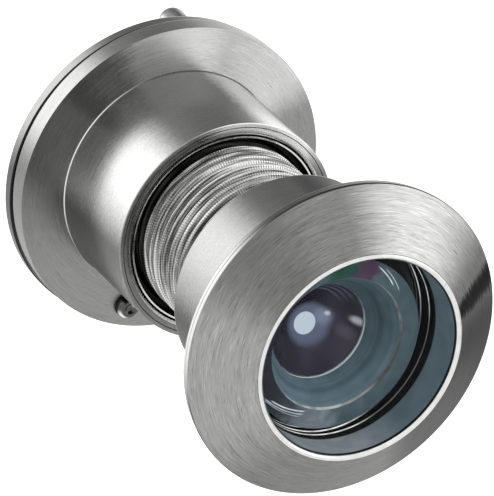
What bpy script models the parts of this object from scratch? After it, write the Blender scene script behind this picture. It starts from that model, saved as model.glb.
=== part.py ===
"""Door viewer: a brushed wide-angle peephole in two screwed halves, with a swinging privacy cover.

The optical axis is the Y axis. The outer half's lens looks along -Y, the cover faces the room at +Y, +Z is up,
and the origin is the middle of the overall length on the axis. Stations are millimetres behind the front rim.
"""
import math

import bmesh
import bpy
from mathutils import Matrix

MM = 0.001
FRONT_RIM_Y = -23.0  # station 0, the front flange's largest circle
GAP = 0.3  # air between neighbouring solids

# Facets around a full turn
LARGE = 36
SMALL = 24
TINY = 16
THREAD = 36

# Outer half: flange, boss and threaded barrel
FLANGE_R = 19.0
RIM_BACK_R = 18.68
RIM_BACK = 1.73
MOUTH_FRONT = -4.66
BEZEL_SEAT_R = 12.9
BEZEL_SEAT = -3.3
LENS_BORE_R = 12.2
LENS_SHOULDER = 5.0
BOSS_R = 13.24
BOSS_BACK = 14.93
BARREL_BORE_R = 8.5
RIB_R = 7.2
RIB = (8.8, 9.8)
BARREL_BACK = 39.0

# Adjusting thread, right-handed
PITCH = 1.25
ROOT_R = 9.85
CREST_R = 10.6
ROOT_HALF = 0.52
CREST_HALF = 0.10
FLANK_PLAY = 0.18
MALE_START = 15.6
MALE_TURNS = 18
FEMALE_START_TURN = 12  # turns past the barrel's first thread
FEMALE_TURNS = 5
FEMALE_CREST_R = 10.1
FEMALE_WALL_R = 10.95
EMBED = 0.12  # how deep a thread ridge is sunk into its wall

# Inner half: sleeve and flange
SLEEVE_R = 13.45
SLEEVE_RIM = 28.2
SLEEVE_MOUTH_R = 11.87
SLEEVE_MOUTH_DEPTH = 1.8
SLEEVE_BORE_R = 11.2
INNER_FACE = 42.75
INNER_BACK = 45.3
INNER_FLANGE_R = 18.85
NOTCH = (2.6, 5.0, 1.2)  # width, length across the bore's edge, depth

# Privacy cover, its pivot rivet and its knob
COVER_R = 18.77
COVER = (45.65, 47.06)
PIVOT_X, PIVOT_Z = -5.74, -15.25
RIVET_SHANK_R = 0.85
RIVET_HEAD_R = 1.28
RIVET_HEAD_HEIGHT = 0.8
WASHER_R = 1.9
WASHER_RECESS = (2.2, 0.8)  # radius, depth
WASHER_THICKNESS = 0.5
KNOB_X, KNOB_Z = 3.63, 16.39
KNOB_R = 1.45
KNOB_TOP = 50.9
KNOB_NECK_R = 0.8
KNOB_TAIL_R = 1.25

# Optics
OBJECTIVE_R = 11.2
SMALL_LENS_R = 8.2
SPACER_BORE_R = 7.4
STOP_R = 3.2
RING_BORE_R = 6.4
RING = (36.2, 38.2)
SLOT = (1.2, 0.9)  # width, depth

MATERIALS = {
    "satin_nickel": ((0.60, 0.59, 0.57, 1.0), 0.32, 1.0, 0.0),
    "polished_nickel": ((0.80, 0.79, 0.77, 1.0), 0.10, 1.0, 0.0),
    "black_anodised": ((0.02, 0.02, 0.022, 1.0), 0.45, 0.6, 0.0),
    "black_rubber": ((0.015, 0.015, 0.015, 1.0), 0.70, 0.0, 0.0),
    "coated_glass": ((0.55, 0.72, 0.76, 1.0), 0.03, 0.0, 0.9),
}


def clear_scene():
    for item in list(bpy.data.objects):
        bpy.data.objects.remove(item, do_unlink=True)
    for group in list(bpy.data.collections):
        bpy.data.collections.remove(group)


def new_collection(name):
    group = bpy.data.collections.new(name)
    bpy.context.scene.collection.children.link(group)
    return group


def material_for(node, finish):
    """A node's own material, in one of the finishes above."""
    colour, roughness, metallic, transmission = MATERIALS[finish]
    mat = bpy.data.materials.new(f"{node}_{finish}")
    mat.use_nodes = True
    mat.diffuse_color = colour
    shader = mat.node_tree.nodes["Principled BSDF"]
    shader.inputs["Base Color"].default_value = colour
    shader.inputs["Roughness"].default_value = roughness
    shader.inputs["Metallic"].default_value = metallic
    shader.inputs["Transmission Weight"].default_value = transmission
    return mat


def local_z(station):
    """Metres along the axis for a station in millimetres."""
    return (station + FRONT_RIM_Y) * MM


def clockwise(outline):
    """The outline ordered so that its outer side runs from the room end to the street end."""
    area = 0.0
    for (r0, s0), (r1, s1) in zip(outline, outline[1:] + outline[:1]):
        area += r0 * s1 - r1 * s0
    return outline if area < 0 else outline[::-1]


def outline_mesh(name, outline):
    """A wire of (radius, station) points; it is closed unless both ends lie on the axis."""
    points = clockwise(outline)
    on_axis = [i for i, (r, _) in enumerate(points) if r == 0.0]
    if on_axis:
        first = next(i for i in on_axis if points[i - 1][0] == 0.0)
        points = points[first:] + points[:first]
    edges = [(i, i + 1) for i in range(len(points) - 1)]
    if not on_axis:
        edges.append((len(points) - 1, 0))
    mesh = bpy.data.meshes.new(name)
    mesh.from_pydata([(r * MM, 0.0, local_z(s)) for r, s in points], edges, [])
    return mesh


def baked(obj):
    """Replaces an object's mesh with its evaluated mesh and drops its modifiers."""
    graph = bpy.context.evaluated_depsgraph_get()
    mesh = bpy.data.meshes.new_from_object(obj.evaluated_get(graph))
    wire = obj.data
    obj.modifiers.clear()
    obj.data = mesh
    bpy.data.meshes.remove(wire)
    return obj


def swept(name, outline, group, facets, turns=1, rise=0.0):
    """A turned shape, or with a rise a helical ridge, about the Y axis."""
    obj = bpy.data.objects.new(name, outline_mesh(name, outline))
    group.objects.link(obj)
    screw = obj.modifiers.new("Turn", "SCREW")
    screw.axis = "Z"
    screw.angle = 2.0 * math.pi
    screw.steps = facets
    screw.render_steps = facets
    screw.iterations = turns
    screw.screw_offset = rise * MM
    screw.use_merge_vertices = rise == 0.0
    screw.merge_threshold = 0.000001
    baked(obj)
    obj.rotation_euler = (-math.pi / 2.0, 0.0, 0.0)
    return obj


def close_ends(obj):
    """Caps the two open ends of a helical ridge."""
    bm = bmesh.new()
    bm.from_mesh(obj.data)
    bmesh.ops.holes_fill(bm, edges=[e for e in bm.edges if e.is_boundary], sides=0)
    bmesh.ops.recalc_face_normals(bm, faces=bm.faces)
    bm.to_mesh(obj.data)
    bm.free()
    return obj


def as_cutter(obj):
    obj.hide_render = True
    obj.display_type = "WIRE"
    return obj


def combine(obj, other, operation):
    step = obj.modifiers.new(other.name, "BOOLEAN")
    step.operation = operation
    step.solver = "EXACT"
    step.object = as_cutter(other)


def rod_outline(radius, start, end):
    return [(0.0, start), (radius, start), (radius, end), (0.0, end)]


def hole(name, radius, start, end, x, z, group):
    """A round cutter parallel to the axis."""
    obj = swept(name, rod_outline(radius, start, end), group, TINY)
    obj.location = (x * MM, 0.0, z * MM)
    return obj


def box_cutter(name, size, centre, group):
    """A square cutter; size and centre are x, station and z in millimetres."""
    bm = bmesh.new()
    bmesh.ops.create_cube(bm, size=1.0, matrix=Matrix.Diagonal([v * MM for v in size] + [1.0]))
    mesh = bpy.data.meshes.new(name)
    bm.to_mesh(mesh)
    bm.free()
    obj = bpy.data.objects.new(name, mesh)
    group.objects.link(obj)
    obj.location = (centre[0] * MM, local_z(centre[1]), centre[2] * MM)
    return obj


def cap(radius, apex, sag, points):
    """Points of a spherical lens face from the axis to its edge; a positive sag moves the edge to the room side."""
    ball = (radius**2 + sag**2) / (2.0 * abs(sag))
    side = math.copysign(1.0, sag)
    rs = [radius * i / (points - 1) for i in range(points)]
    return [(r, apex + side * (ball - math.sqrt(ball**2 - r**2))) for r in rs]


def lens_outline(front, wall, back):
    """Joins a front face, the wall's extra points and a back face into one section."""
    return front + wall + back[::-1]


def ring_outline(inner, outer, start, end):
    return [(inner, start), (outer, start), (outer, end), (inner, end)]


def male_half(radius):
    """Half the width of the barrel's thread ridge at a radius."""
    slope = (ROOT_HALF - CREST_HALF) / (CREST_R - ROOT_R)
    return ROOT_HALF - slope * (radius - ROOT_R)


def female_half(radius):
    """Half the width of the sleeve's thread ridge at a radius: the barrel's groove less the play."""
    return PITCH / 2.0 - male_half(radius) - FLANK_PLAY


def thread_ridge(name, half_at, crest_r, foot_r, start, turns, group):
    """A helical ridge of trapezoid section, capped at both ends."""
    crest, foot = half_at(crest_r), half_at(foot_r)
    section = [(crest_r, -crest), (crest_r, crest), (foot_r, foot), (foot_r, -foot)]
    outline = [(r, start + s) for r, s in section]
    return close_ends(swept(name, outline, group, THREAD, turns, PITCH))


def male_ridge(group):
    return thread_ridge(
        "male_thread_ridge", male_half, CREST_R, ROOT_R - EMBED, MALE_START, MALE_TURNS, group
    )


def female_ridge(group):
    start = MALE_START + (FEMALE_START_TURN + 0.5) * PITCH
    foot_r = FEMALE_WALL_R + EMBED
    return thread_ridge(
        "female_thread_ridge", female_half, FEMALE_CREST_R, foot_r, start, FEMALE_TURNS, group
    )


def outer_barrel(parts, cutters):
    outline = [
        (BEZEL_SEAT_R, MOUTH_FRONT),
        (FLANGE_R - 0.12, -0.15),
        (FLANGE_R, 0.05),
        (RIM_BACK_R, RIM_BACK),
        (BOSS_R, RIM_BACK),
        (BOSS_R, BOSS_BACK - 0.25),
        (BOSS_R - 0.25, BOSS_BACK),
        (ROOT_R, BOSS_BACK),
        (ROOT_R, BARREL_BACK - 0.3),
        (ROOT_R - 0.3, BARREL_BACK),
        (BARREL_BORE_R, BARREL_BACK),
        (BARREL_BORE_R, RIB[1]),
        (RIB_R, RIB[1]),
        (RIB_R, RIB[0]),
        (BARREL_BORE_R, RIB[0]),
        (BARREL_BORE_R, LENS_SHOULDER),
        (LENS_BORE_R, LENS_SHOULDER),
        (LENS_BORE_R, BEZEL_SEAT),
        (BEZEL_SEAT_R, BEZEL_SEAT),
    ]
    obj = swept("outer_barrel", outline, parts, LARGE)
    combine(obj, male_ridge(cutters), "UNION")
    return obj


def lens_bezel_ring(parts):
    outer = BEZEL_SEAT_R - GAP
    inner = 11.9
    outline = [
        (inner, -4.63),
        (inner + 0.2, -4.9),
        (outer - 0.2, -4.9),
        (outer, -4.71),
        (outer, BEZEL_SEAT - GAP),
        (inner, BEZEL_SEAT - GAP),
    ]
    return swept("lens_bezel_ring", outline, parts, LARGE)


def front_seal(parts):
    outline = ring_outline(OBJECTIVE_R + GAP, LENS_BORE_R - GAP, BEZEL_SEAT + 0.1, -2.0)
    return swept("front_seal", outline, parts, SMALL)


def objective_lens(parts):
    """Nearly flat outside, deeply hollowed inside, with a step that rests in the seat ring."""
    step, step_r = 1.2, 10.98
    front = cap(OBJECTIVE_R, -4.8, 0.56, 4)
    back = cap(10.8, -2.9, 5.95, 8)
    wall = [(OBJECTIVE_R, step), (step_r, step), (step_r, back[-1][1])]
    return swept("objective_lens", lens_outline(front, wall, back), parts, SMALL)


def lens_seat_ring(parts):
    outer = LENS_BORE_R - GAP
    outline = [(outer, 1.5), (outer, 4.7), (9.3, 4.7), (9.3, 3.5), (11.3, 3.5), (11.3, 1.5)]
    return swept("lens_seat_ring", outline, parts, SMALL)


def second_lens(parts):
    """A hollow-fronted lens whose mouth opens in a cone just behind the objective."""
    back_end = RIB[0] - GAP
    front = cap(5.5, 6.9, -2.8, 5) + [(8.0, 0.45)]
    back = [(0.0, back_end), (SMALL_LENS_R, back_end)]
    return swept("second_lens", lens_outline(front, [(SMALL_LENS_R, 0.65)], back), parts, SMALL)


def third_lens(parts):
    front = cap(SMALL_LENS_R, 9.2, 1.2, 4)
    back = cap(SMALL_LENS_R, 13.9, -1.5, 4)
    return swept("third_lens", lens_outline(front, [], back), parts, SMALL)


def eyepiece_lens(parts):
    front = cap(SMALL_LENS_R, 31.6, 2.3, 5)
    back = [(0.0, 35.9), (SMALL_LENS_R, 35.9)]
    return swept("eyepiece_lens", lens_outline(front, [], back), parts, SMALL)


def spacers(parts):
    for name, start, end in (("front_spacer_tube", 13.05, 22.3), ("rear_spacer_tube", 23.5, 33.1)):
        swept(name, ring_outline(SPACER_BORE_R, SMALL_LENS_R, start, end), parts, SMALL)
    swept("aperture_stop", ring_outline(STOP_R, SMALL_LENS_R, 22.6, 23.2), parts, SMALL)


def retaining_ring(parts, cutters):
    obj = swept("retaining_ring", ring_outline(RING_BORE_R, SMALL_LENS_R, *RING), parts, SMALL)
    width, depth = SLOT
    slot = box_cutter(
        "retaining_ring_slot",
        (width, 2.0 * depth, 3.0 * SMALL_LENS_R),
        (0.0, RING[1], 0.0),
        cutters,
    )
    combine(obj, slot, "DIFFERENCE")


def inner_sleeve(parts, cutters):
    outline = [
        (SLEEVE_MOUTH_R + 0.33, SLEEVE_RIM),
        (SLEEVE_R - 0.2, SLEEVE_RIM),
        (SLEEVE_R, SLEEVE_RIM + 0.2),
        (SLEEVE_R, INNER_FACE - 0.3),
        (SLEEVE_R + 0.3, INNER_FACE),
        (INNER_FLANGE_R - 0.3, INNER_FACE),
        (INNER_FLANGE_R, INNER_FACE + 0.3),
        (INNER_FLANGE_R, INNER_BACK),
        (SLEEVE_BORE_R, INNER_BACK),
        (SLEEVE_BORE_R, 38.4),
        (FEMALE_WALL_R, 38.4),
        (FEMALE_WALL_R, SLEEVE_RIM + SLEEVE_MOUTH_DEPTH),
        (SLEEVE_MOUTH_R, SLEEVE_RIM + SLEEVE_MOUTH_DEPTH),
        (SLEEVE_MOUTH_R, SLEEVE_RIM + 0.33),
    ]
    obj = swept("inner_sleeve", outline, parts, LARGE)
    combine(obj, female_ridge(cutters), "UNION")
    width, length, depth = NOTCH
    for side, name in ((1.0, "coin_notch_right"), (-1.0, "coin_notch_left")):
        centre = (side * SLEEVE_BORE_R, INNER_BACK, 0.0)
        combine(obj, box_cutter(name, (length, 2.0 * depth, width), centre, cutters), "DIFFERENCE")
    through = (INNER_FACE - 1.0, INNER_BACK + 1.0)
    shank_hole = hole("flange_rivet_hole", RIVET_SHANK_R + GAP, *through, PIVOT_X, PIVOT_Z, cutters)
    combine(obj, shank_hole, "DIFFERENCE")
    radius, recess = WASHER_RECESS
    sink = hole("washer_recess", radius, INNER_BACK - recess, INNER_BACK + 1.0, PIVOT_X, PIVOT_Z, cutters)
    combine(obj, sink, "DIFFERENCE")


def pivot_parts(parts):
    """The rivet and washer, built on the pivot axis."""
    head_back = INNER_FACE - GAP
    head_front = head_back - RIVET_HEAD_HEIGHT
    tail = COVER[1] - 0.5
    rivet = [
        (0.0, head_front + 0.25),
        (0.55, head_front),
        (RIVET_HEAD_R - 0.3, head_front + 0.1),
        (RIVET_HEAD_R, head_front + 0.45),
        (RIVET_HEAD_R, head_back),
        (RIVET_SHANK_R, head_back),
        (RIVET_SHANK_R, tail),
        (1.6, tail),
        (1.6, COVER[1]),
        (0.0, COVER[1]),
    ]
    washer_front = INNER_BACK - WASHER_RECESS[1] + GAP
    washer = ring_outline(RIVET_SHANK_R + GAP, WASHER_R, washer_front, washer_front + WASHER_THICKNESS)
    for name, outline in (("pivot_rivet", rivet), ("pivot_washer", washer)):
        swept(name, outline, parts, TINY).location = (PIVOT_X * MM, 0.0, PIVOT_Z * MM)


def privacy_cover(parts, cutters, pivot):
    """A flat disc, concentric with the viewer when shut, whose origin is on the pivot axis."""
    bevel = 0.15
    outline = [
        (0.0, COVER[0]),
        (COVER_R - bevel, COVER[0]),
        (COVER_R, COVER[0] + bevel),
        (COVER_R, COVER[1] - bevel),
        (COVER_R - bevel, COVER[1]),
        (0.0, COVER[1]),
    ]
    obj = swept("privacy_cover", outline, parts, LARGE)
    front, back = COVER
    cuts = (
        ("cover_rivet_hole", RIVET_SHANK_R + GAP, front - 1.0, back + 1.0, PIVOT_X, PIVOT_Z),
        ("cover_rivet_sink", 1.9, back - 0.8, back + 1.0, PIVOT_X, PIVOT_Z),
        ("cover_knob_hole", KNOB_NECK_R + GAP, front - 1.0, back + 1.0, KNOB_X, KNOB_Z),
        ("cover_knob_sink", KNOB_TAIL_R + GAP, front - 1.0, front + 0.75, KNOB_X, KNOB_Z),
    )
    for name, radius, start, end, x, z in cuts:
        combine(obj, hole(name, radius, start, end, x, z, cutters), "DIFFERENCE")
    keep_place(obj, pivot)


def cover_knob(parts, pivot):
    """A round-ended pin riveted through the cover."""
    shoulder = COVER[1] + GAP
    dome = [
        (KNOB_R * math.cos(a), KNOB_TOP - KNOB_R + KNOB_R * math.sin(a))
        for a in (math.radians(15.0 * i) for i in range(6))
    ]
    tail = COVER[0] + 0.1
    outline = [
        (0.0, tail),
        (KNOB_TAIL_R, tail),
        (KNOB_TAIL_R, tail + 0.35),
        (KNOB_NECK_R, tail + 0.35),
        (KNOB_NECK_R, shoulder),
        (KNOB_R, shoulder),
        *dome,
        (0.0, KNOB_TOP),
    ]
    obj = swept("cover_knob", outline, parts, TINY)
    obj.location = (KNOB_X * MM, 0.0, KNOB_Z * MM)
    keep_place(obj, pivot)


def keep_place(obj, parent):
    """Parents an object to an empty that is only moved, never turned."""
    obj.location = obj.location - parent.location
    obj.parent = parent


def pivot_empty(parts):
    pivot = bpy.data.objects.new("cover_pivot_axis", None)
    pivot.location = (PIVOT_X * MM, local_z(COVER[0]), PIVOT_Z * MM)
    parts.objects.link(pivot)
    return pivot


FINISHES = {
    "satin_nickel": ("outer_barrel", "inner_sleeve", "privacy_cover"),
    "polished_nickel": ("lens_bezel_ring", "pivot_rivet", "pivot_washer", "cover_knob"),
    "black_anodised": (
        "lens_seat_ring",
        "front_spacer_tube",
        "rear_spacer_tube",
        "aperture_stop",
        "retaining_ring",
    ),
    "black_rubber": ("front_seal",),
    "coated_glass": ("objective_lens", "second_lens", "third_lens", "eyepiece_lens"),
}


def finish_pieces():
    for finish, names in FINISHES.items():
        for name in names:
            mesh = bpy.data.objects[name].data
            mesh.materials.clear()
            mesh.materials.append(material_for(name, finish))
            mesh.shade_smooth()
            mesh.set_sharp_from_angle(angle=math.radians(35.0))


def build():
    clear_scene()
    parts = new_collection("door_viewer")
    cutters = new_collection("door_viewer_cutters")
    outer_barrel(parts, cutters)
    lens_bezel_ring(parts)
    front_seal(parts)
    objective_lens(parts)
    lens_seat_ring(parts)
    second_lens(parts)
    third_lens(parts)
    spacers(parts)
    eyepiece_lens(parts)
    retaining_ring(parts, cutters)
    inner_sleeve(parts, cutters)
    pivot_parts(parts)
    pivot = pivot_empty(parts)
    privacy_cover(parts, cutters, pivot)
    cover_knob(parts, pivot)
    finish_pieces()


build()
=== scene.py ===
"""Looks of the door viewer: nickel, coated glass and black inner rings, in a white studio."""
import math

import bmesh
import bpy
from mathutils import Matrix, Vector


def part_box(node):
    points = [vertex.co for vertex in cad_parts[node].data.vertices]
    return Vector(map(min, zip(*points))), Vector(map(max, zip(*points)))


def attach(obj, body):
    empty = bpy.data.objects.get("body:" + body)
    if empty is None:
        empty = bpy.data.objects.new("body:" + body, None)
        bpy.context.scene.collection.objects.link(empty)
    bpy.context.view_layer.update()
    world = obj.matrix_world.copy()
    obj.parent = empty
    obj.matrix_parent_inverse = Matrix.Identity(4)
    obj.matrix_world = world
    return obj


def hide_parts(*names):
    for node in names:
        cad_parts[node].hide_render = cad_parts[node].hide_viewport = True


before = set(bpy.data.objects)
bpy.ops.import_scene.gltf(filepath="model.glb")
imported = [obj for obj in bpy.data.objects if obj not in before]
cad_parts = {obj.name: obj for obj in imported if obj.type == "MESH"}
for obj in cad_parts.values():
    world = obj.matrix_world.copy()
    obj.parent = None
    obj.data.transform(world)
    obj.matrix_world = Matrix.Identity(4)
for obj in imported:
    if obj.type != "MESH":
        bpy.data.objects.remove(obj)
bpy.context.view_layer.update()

MM = 0.001
COLUMNS = 192  # facets around a large turned piece
SMALL_COLUMNS = 96
SHARP_ANGLE = math.radians(32.0)  # faces that meet at more than this keep a hard edge
OVERCUT = 1.0  # how far a drill reaches past the piece
LEAN_TOWARD = math.radians(45.0)  # the side on which the inner rings seem deepest


# ---------------------------------------------------------------- places, from the frame

barrel_low, barrel_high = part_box("outer_barrel")
sleeve_low, sleeve_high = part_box("inner_sleeve")
cover_low, cover_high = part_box("privacy_cover")
knob_low, knob_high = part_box("cover_knob")
rivet_low, rivet_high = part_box("pivot_rivet")
washer_low, washer_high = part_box("pivot_washer")

FLANGE_R = barrel_high[0] / MM
MOUTH_DEPTH = 4.66  # from the barrel's front end to the flange's largest circle
CONE_DEPTH = 4.71
FRONT_RIM = barrel_low[1] / MM + MOUTH_DEPTH  # the flange's largest circle, where stations count from
MOUTH = FRONT_RIM - CONE_DEPTH
BARREL_BACK = barrel_high[1] / MM
SLEEVE_RIM = sleeve_low[1] / MM
SLEEVE_BACK = sleeve_high[1] / MM
INNER_FLANGE_R = sleeve_high[0] / MM
INNER_FLANGE_THICKNESS = 2.55
INNER_FACE = SLEEVE_BACK - INNER_FLANGE_THICKNESS
COVER_R = cover_high[0] / MM
COVER_FRONT = cover_low[1] / MM
COVER_BACK = cover_high[1] / MM


def middle(low, high, axis):
    return (low[axis] + high[axis]) / 2.0 / MM


PIVOT = (middle(rivet_low, rivet_high, 0), middle(rivet_low, rivet_high, 2))
KNOB = (middle(knob_low, knob_high, 0), middle(knob_low, knob_high, 2))

# Street half: radii, and stations behind the front rim
MOUTH_R = 12.62
LENS_BORE_R = 12.0
LENS_SHOULDER = 5.0
BEZEL_SEAT = -3.5
RING_R = 11.96  # outside of the seal and the seat ring, and inside of the bezel
RIM_BACK = 1.73
BOSS_R = 13.24
BOSS_BACK = 14.93
BARREL_BORE_R = 8.3
RIB_R = 7.2
RIB = (8.8, 9.8)

# Room half
SLEEVE_R = 13.45
SLEEVE_BORE_R = 11.25
FEMALE_END = 38.0

# The cover's rivet and knob: shanks, and the holes they pass through
RIVET_SHANK_R = 0.85
RIVET_HOLE_R = 1.15
RIVET_TAIL_R = 1.6
KNOB_SHANK_R = 0.8
KNOB_TAIL_R = 1.25
KNOB_HOLE_R = 1.1

# Adjusting thread
PITCH = 1.25
CREST_R = 10.6
ROOT_R = 9.85
FEMALE_WALL_R = 10.95
FEMALE_CREST_R = 10.35
MALE_START = 15.2  # the station where the barrel's thread begins
FEMALE_START = MALE_START + 12.5 * PITCH  # half a pitch out of step, so that the ridges interleave


# ---------------------------------------------------------------- turned meshes


def softened(corners, steps=5):
    """Corners (radius, station, softness, finish) as points, each soft corner swept by a short parabola.

    A holding point beside each sweep keeps the long faces flat in the shading. The finish is that of the
    surface that follows the corner.
    """
    points = []
    count = len(corners)
    for i, (r, s, soft, finish) in enumerate(corners):
        here = Vector((r, s))
        before = Vector(corners[i - 1][:2]) - here
        after = Vector(corners[(i + 1) % count][:2]) - here
        if soft == 0.0:
            points.append((r, s, finish))
            continue
        enter = here + before.normalized() * soft
        leave = here + after.normalized() * soft
        hold_in = here + before.normalized() * min(1.6 * soft, 0.45 * before.length)
        hold_out = here + after.normalized() * min(1.6 * soft, 0.45 * after.length)
        points.append((hold_in.x, hold_in.y, corners[i - 1][3]))
        for k in range(steps + 1):
            t = k / steps
            p = enter * (1 - t) ** 2 + here * 2 * t * (1 - t) + leave * t * t
            points.append((p.x, p.y, finish))
        points.append((hold_out.x, hold_out.y, finish))
    return points


def turned(name, points, finishes, columns=COLUMNS, centre=(0.0, 0.0), closed=True):
    """Turns (radius, station, finish) points about an axis parallel to Y; points on the axis become poles.

    A point may add a fourth item (right, up, lean): where its ring seems to lie through the thick front lens.
    """
    bm = bmesh.new()
    rows = []
    for r, s, _, *seen in points:
        right, up, lean = seen[0] if seen else (0.0, 0.0, 0.0)
        row = []
        for j in range(columns):
            a = 2.0 * math.pi * j / columns
            x = centre[0] + right + r * math.sin(a)
            y = s + lean * math.cos(a - LEAN_TOWARD)
            z = centre[1] + up + r * math.cos(a)
            row.append(bm.verts.new((x * MM, y * MM, z * MM)))
        rows.append(row)
    pairs = len(points) if closed else len(points) - 1
    for i in range(pairs):
        here, there = rows[i], rows[(i + 1) % len(points)]
        finish = points[i][2]
        for j in range(columns):
            k = (j + 1) % columns
            face = bm.faces.new((here[j], here[k], there[k], there[j]))
            face.material_index = finish
    return finished(name, bm, finishes)


def finished(name, bm, finishes, weld=0.0000005):
    """Cleans a mesh, points its faces out, gives it its materials and shades it."""
    bmesh.ops.remove_doubles(bm, verts=bm.verts, dist=weld)
    bmesh.ops.dissolve_degenerate(bm, edges=bm.edges, dist=weld)
    bmesh.ops.recalc_face_normals(bm, faces=bm.faces)
    mesh = bpy.data.meshes.new(name)
    bm.to_mesh(mesh)
    bm.free()
    for mat in finishes:
        mesh.materials.append(mat)
    mesh.shade_smooth()
    mesh.set_sharp_from_angle(angle=SHARP_ANGLE)
    obj = bpy.data.objects.new(name, mesh)
    bpy.context.scene.collection.objects.link(obj)
    return obj


def threaded(name, before, after, thread, finishes):
    """A turned piece with a real helical thread between two runs of points.

    before and after are the outline's plain points on either side of the thread. The thread's rows follow the
    helix, so a row that has gone once round meets the row one pitch further along.
    """
    start, end, floor, tip, finish = thread
    shape = ((0.08, 0.0), (0.40, 1.0), (0.60, 1.0), (0.92, 0.0))
    turns = range(-1, math.ceil((end - start) / PITCH) + 1)
    run_out = 0.6 * PITCH
    bm = bmesh.new()

    def vertex(r, s, j):
        a = 2.0 * math.pi * j / COLUMNS
        return bm.verts.new((r * math.sin(a) * MM, s * MM, r * math.cos(a) * MM))

    # Looking along +Y the columns run clockwise, which makes a right-hand helix
    helix = []
    for turn in turns:
        for offset, height in shape:
            row = []
            for j in range(COLUMNS + 1):
                s = start + PITCH * (turn + offset + j / COLUMNS)
                s = min(max(s, start), end)
                fade = min(1.0, (s - start) / run_out, (end - s) / run_out)
                row.append(vertex(floor + (tip - floor) * height * max(fade, 0.0), s, j))
            helix.append(row)

    def strip(here, there, index):
        for j in range(COLUMNS):
            k = (j + 1) % len(here)
            m = (j + 1) % len(there)
            face = bm.faces.new((here[j], here[k], there[m], there[j]))
            face.material_index = index

    for here, there in zip(helix, helix[1:]):
        strip(here, there, finish)

    ring = [[vertex(floor, start, j) for j in range(COLUMNS)]]
    plain = [[vertex(r, s, j) for j in range(COLUMNS)] for r, s, _ in after + before]
    last = [[vertex(floor, end, j) for j in range(COLUMNS)]]
    loop = last + plain + ring
    marks = [finish] + [f for _, _, f in after + before]
    for i in range(len(loop) - 1):
        strip(loop[i], loop[i + 1], marks[i])
    return finished(name, bm, finishes)


def cap(radius, apex, edge, finish, points=14):
    """A spherical lens face from the axis out to its edge, as (radius, station, finish) points."""
    sag = edge - apex
    if abs(sag) < 1e-6:
        return [(0.0, apex, finish), (radius, apex, finish)]
    ball = (radius**2 + sag**2) / (2.0 * abs(sag))
    side = math.copysign(1.0, sag)
    out = []
    for i in range(points):
        a = math.asin(radius / ball) * i / (points - 1)
        out.append((ball * math.sin(a), apex + side * ball * (1.0 - math.cos(a)), finish))
    return out


def plain_ring(name, inner, outer, start, end, mat, soft=0.08, columns=SMALL_COLUMNS):
    corners = [(inner, start, soft, 0), (outer, start, soft, 0), (outer, end, soft, 0), (inner, end, soft, 0)]
    return turned(name, softened(corners, 3), [mat], columns)


def cut(obj, cutter):
    """Cuts one mesh from another for good, and removes the cutter."""
    step = obj.modifiers.new("cut", "BOOLEAN")
    step.operation = "DIFFERENCE"
    step.solver = "EXACT"
    step.object = cutter
    graph = bpy.context.evaluated_depsgraph_get()
    mesh = bpy.data.meshes.new_from_object(obj.evaluated_get(graph))
    obj.modifiers.clear()
    old = obj.data
    obj.data = mesh
    bpy.data.meshes.remove(old)
    bpy.data.objects.remove(cutter, do_unlink=True)
    mesh.shade_smooth()
    mesh.set_sharp_from_angle(angle=SHARP_ANGLE)
    return obj


def drill(obj, radius, start, end, centre):
    points = [(0.0, start, 0), (radius, start, 0), (radius, end, 0), (0.0, end, 0)]
    return cut(obj, turned("drill", points, [], 48, centre))


def mill(obj, size, centre):
    bm = bmesh.new()
    bmesh.ops.create_cube(bm, size=1.0, matrix=Matrix.Diagonal([v * MM for v in size] + [1.0]))
    bmesh.ops.translate(bm, verts=bm.verts, vec=[v * MM for v in centre])
    return cut(obj, finished("mill", bm, []))


# ---------------------------------------------------------------- shader graphs


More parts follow.
